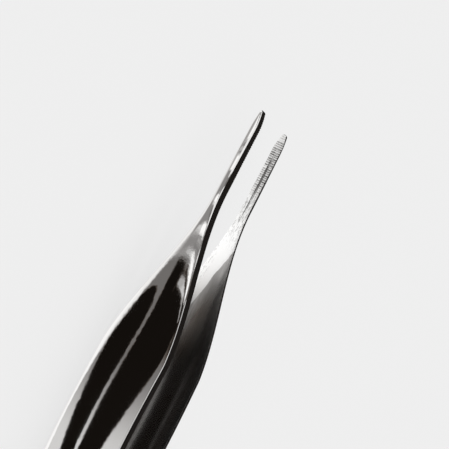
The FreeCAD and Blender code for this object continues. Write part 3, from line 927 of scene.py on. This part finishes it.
def shoulder_paint():
    """Grey, bright and black fields that the front of the arm mirrors close by."""
    paint = CardPaint("shoulder_card")
    x, z, band, field, stroke = paint.x, paint.z, paint.band, paint.field, paint.stroke
    ramp = paint.graph.ramp
    paint.level = SHADE
    field(0.31, ramp(x, 32.9, 33.6))
    field(0.60, ramp(z, -7.0, -11.5), ramp(x, 32.5, 35.0))
    # bright strips across the front of the shoulder
    stroke(0.50, (38.3, -7.0), (38.5, 1.0), (0.6, 0.7), 1.6)
    stroke(0.80, (39.1, -6.0), (39.2, 2.0), (0.3, 0.9), 1.2)
    stroke(WHITE, (39.3, 3.0), (40.9, 16.0), (1.0, 1.0), 0.9)
    # faint marks between the strips
    stroke(0.22, (36.4, 9.0), (36.0, 2.0), (0.35, 0.2))
    stroke(0.70, (37.7, 9.0), (37.4, 3.5), (0.10, 0.15))
    stroke(0.60, (44.6, -10.0), (44.4, 2.0), (0.1, 0.9), 1.2)
    stroke(WHITE, (44.4, 2.5), (45.9, 26.0), (0.8, 1.2), 1.2)
    field(SHADE, band(x, 41.9, 43.4), ramp(z, 3.0, 9.0))
    # the bent bright strip, which thins out below
    stroke(GREY, (34.6, 0.0), (34.4, -7.0), (0.4, 0.3), 0.9)
    stroke(0.95, (34.6, 4.0), (34.8, -3.0), (0.5, 0.05))
    stroke(0.80, (27.6, 10.2), (29.3, 9.6), (0.4, 0.9), 0.8)
    stroke(WHITE, (29.3, 9.6), (32.6, 7.1), (1.0, 1.5), 0.8)
    stroke(WHITE, (32.6, 7.1), (34.5, 4.6), (1.5, 0.8), 0.8)
    # black behind it, with a light patch and its tail
    field(BLACK, band(x, None, 33.1, SOFT, 0.8), band(paint.measure(77.6), 2.3, None), band(z, None, 1.6))
    field(BLACK, band(paint.measure(40), None, 26.0, SOFT, 0.8), band(z, 1.5, None))
    stroke(0.04, (28.0, 8.8), (31.8, 4.0), (0.2, 0.85))
    stroke(GREY, (24.2, 9.9), (28.0, 7.0), (0.3, 0.6))
    stroke(0.72, (28.2, 6.7), (29.4, 4.6), (0.5, 1.0))
    stroke(0.50, (29.5, 4.2), (29.6, 3.0), (1.0, 1.0), 1.2)
    # the jaw
    field(0.32, band(x, 46.0, 51.4), ramp(z, -12.0, -3.0))
    field(WHITE, band(x, 51.6, 55.4), ramp(z, -8.0, 4.5))
    field(0.62, band(x, 55.4, 58.6, 1.0, 1.0), ramp(z, 12.0, 8.0))
    field(0.46, ramp(x, 58.0, 59.0), ramp(z, 12.0, 8.0))
    field(WHITE, band(x, 58.8, 63.0), ramp(z, -1.5, 5.0))
    field(1.1, band(x, 50.6, 63.0, 1.5), ramp(z, 9.0, 14.0))
    stroke(0.28, (56.2, -8.0), (56.0, 10.0), (0.25, 0.30))
    stroke(0.26, (57.9, -9.0), (57.6, 9.0), (0.30, 0.25))
    field(0.62, ramp(z, -4.5, -10.5), ramp(x, 44.0, 47.0))
    field(BRIGHT, ramp(z, -12.0, -18.0), ramp(x, 57.0, 54.0))
    field(GREY, ramp(z, -5.0, -9.0), ramp(x, 55.0, 58.5))
    field(PALE, band(paint.measure(PALE_ANGLE), None, PALE_LINE, SOFT, 1.8), ramp(x, 48.0, 43.0))
    return paint.finish(FAR_LEVEL, clear_far=True)


# The cards: their paint and two opposite corners, in millimetres. The front two stand side by side.
CARD_FRONT, CARD_SEAM = 30, 27.4
CARDS = {
    "body_flag": (body_flag_paint, (-75, CARD_FRONT, -16), (CARD_SEAM, CARD_FRONT, 30)),
    "shoulder_card": (shoulder_paint, (CARD_SEAM, CARD_FRONT, -30), (66, CARD_FRONT, 30)),
    "jaw_card": (jaw_paint, (33, -4, 32), (70, CARD_FRONT, 32)),
    "under_flag": (under_flag_paint, (-62, -13.5, -0.5), (26, 7, -0.5)),
}


def hang_card(name, material, low, high):
    """Hang a card between two opposite corners. Only mirrors see it."""
    low, high = Vector(low) * MM, Vector(high) * MM
    size = high - low
    bm = bmesh.new()
    bmesh.ops.create_grid(bm, x_segments=1, y_segments=1, size=0.5)
    if size.z:
        upright = Matrix.Rotation(math.radians(90), 3, "X")
        bmesh.ops.rotate(bm, verts=bm.verts, cent=(0, 0, 0), matrix=upright)
    bmesh.ops.scale(bm, verts=bm.verts, vec=(size.x, size.y or 1.0, size.z or 1.0))
    bmesh.ops.translate(bm, verts=bm.verts, vec=(low + high) / 2)
    mesh = bpy.data.meshes.new(name)
    bm.to_mesh(mesh)
    bm.free()
    mesh.materials.append(material)
    card = bpy.data.objects.new(name, mesh)
    bpy.context.scene.collection.objects.link(card)
    card.visible_camera = False
    card.visible_diffuse = False
    card.visible_shadow = False


SENSOR_WIDTH = 36.0
NEAREST_SEEN = 10 * MM


def place_camera(view):
    """Stand the camera where the photograph was taken from."""
    data = bpy.data.cameras.new("camera")
    data.sensor_width = SENSOR_WIDTH
    data.lens = data.sensor_width * view.focal_width
    data.clip_start = NEAREST_SEEN
    camera = bpy.data.objects.new("camera", data)
    bpy.context.scene.collection.objects.link(camera)
    side, lift = view.azimuth, view.elevation
    back = Vector((math.sin(side) * math.cos(lift), -math.cos(side) * math.cos(lift), math.sin(lift)))
    level = Vector((math.cos(side), math.sin(side), 0.0))
    upright = back.cross(level)
    right = math.cos(view.roll) * level + math.sin(view.roll) * upright
    up = math.cos(view.roll) * upright - math.sin(view.roll) * level
    height = (ARM_LOW.z + ARM_HIGH.z) / 2
    aim = Vector((ARM_HIGH.x - view.aim_behind_tip, -view.aim_to_right, height))
    facing = Matrix((right, up, back)).transposed().to_4x4()
    camera.matrix_world = Matrix.Translation(aim + back * view.distance) @ facing
    bpy.context.scene.camera = camera


class TWEEZERS_PT_sidebar(bpy.types.Panel):
    """Lists the pieces in the order in which they are made"""
    bl_label = "Podiatry Tweezers"
    bl_idname = "TWEEZERS_PT_sidebar"
    bl_space_type = "VIEW_3D"
    bl_region_type = "UI"
    bl_category = "Tweezers"

    def draw(self, context):
        for operator in OPERATORS:
            self.layout.operator(operator.bl_idname)


GROUPS = {
    "tweezers_sizes": TweezersSizes,
    "tweezers_looks": TweezersLooks,
    "tweezers_camera": TweezersCamera,
}
OPERATORS = (TWEEZERS_OT_arms, TWEEZERS_OT_stage)
CLASSES = (*GROUPS.values(), *OPERATORS, TWEEZERS_PT_sidebar)


def register():
    for cls in CLASSES:
        bpy.utils.register_class(cls)
    for name, group in GROUPS.items():
        setattr(bpy.types.Scene, name, PointerProperty(type=group))


def unregister():
    for name in GROUPS:
        delattr(bpy.types.Scene, name)
    for cls in reversed(CLASSES):
        bpy.utils.unregister_class(cls)


def main():
    register()
    bpy.ops.tweezers.arms()
    bpy.ops.tweezers.stage()


if __name__ == "__main__":
    main()
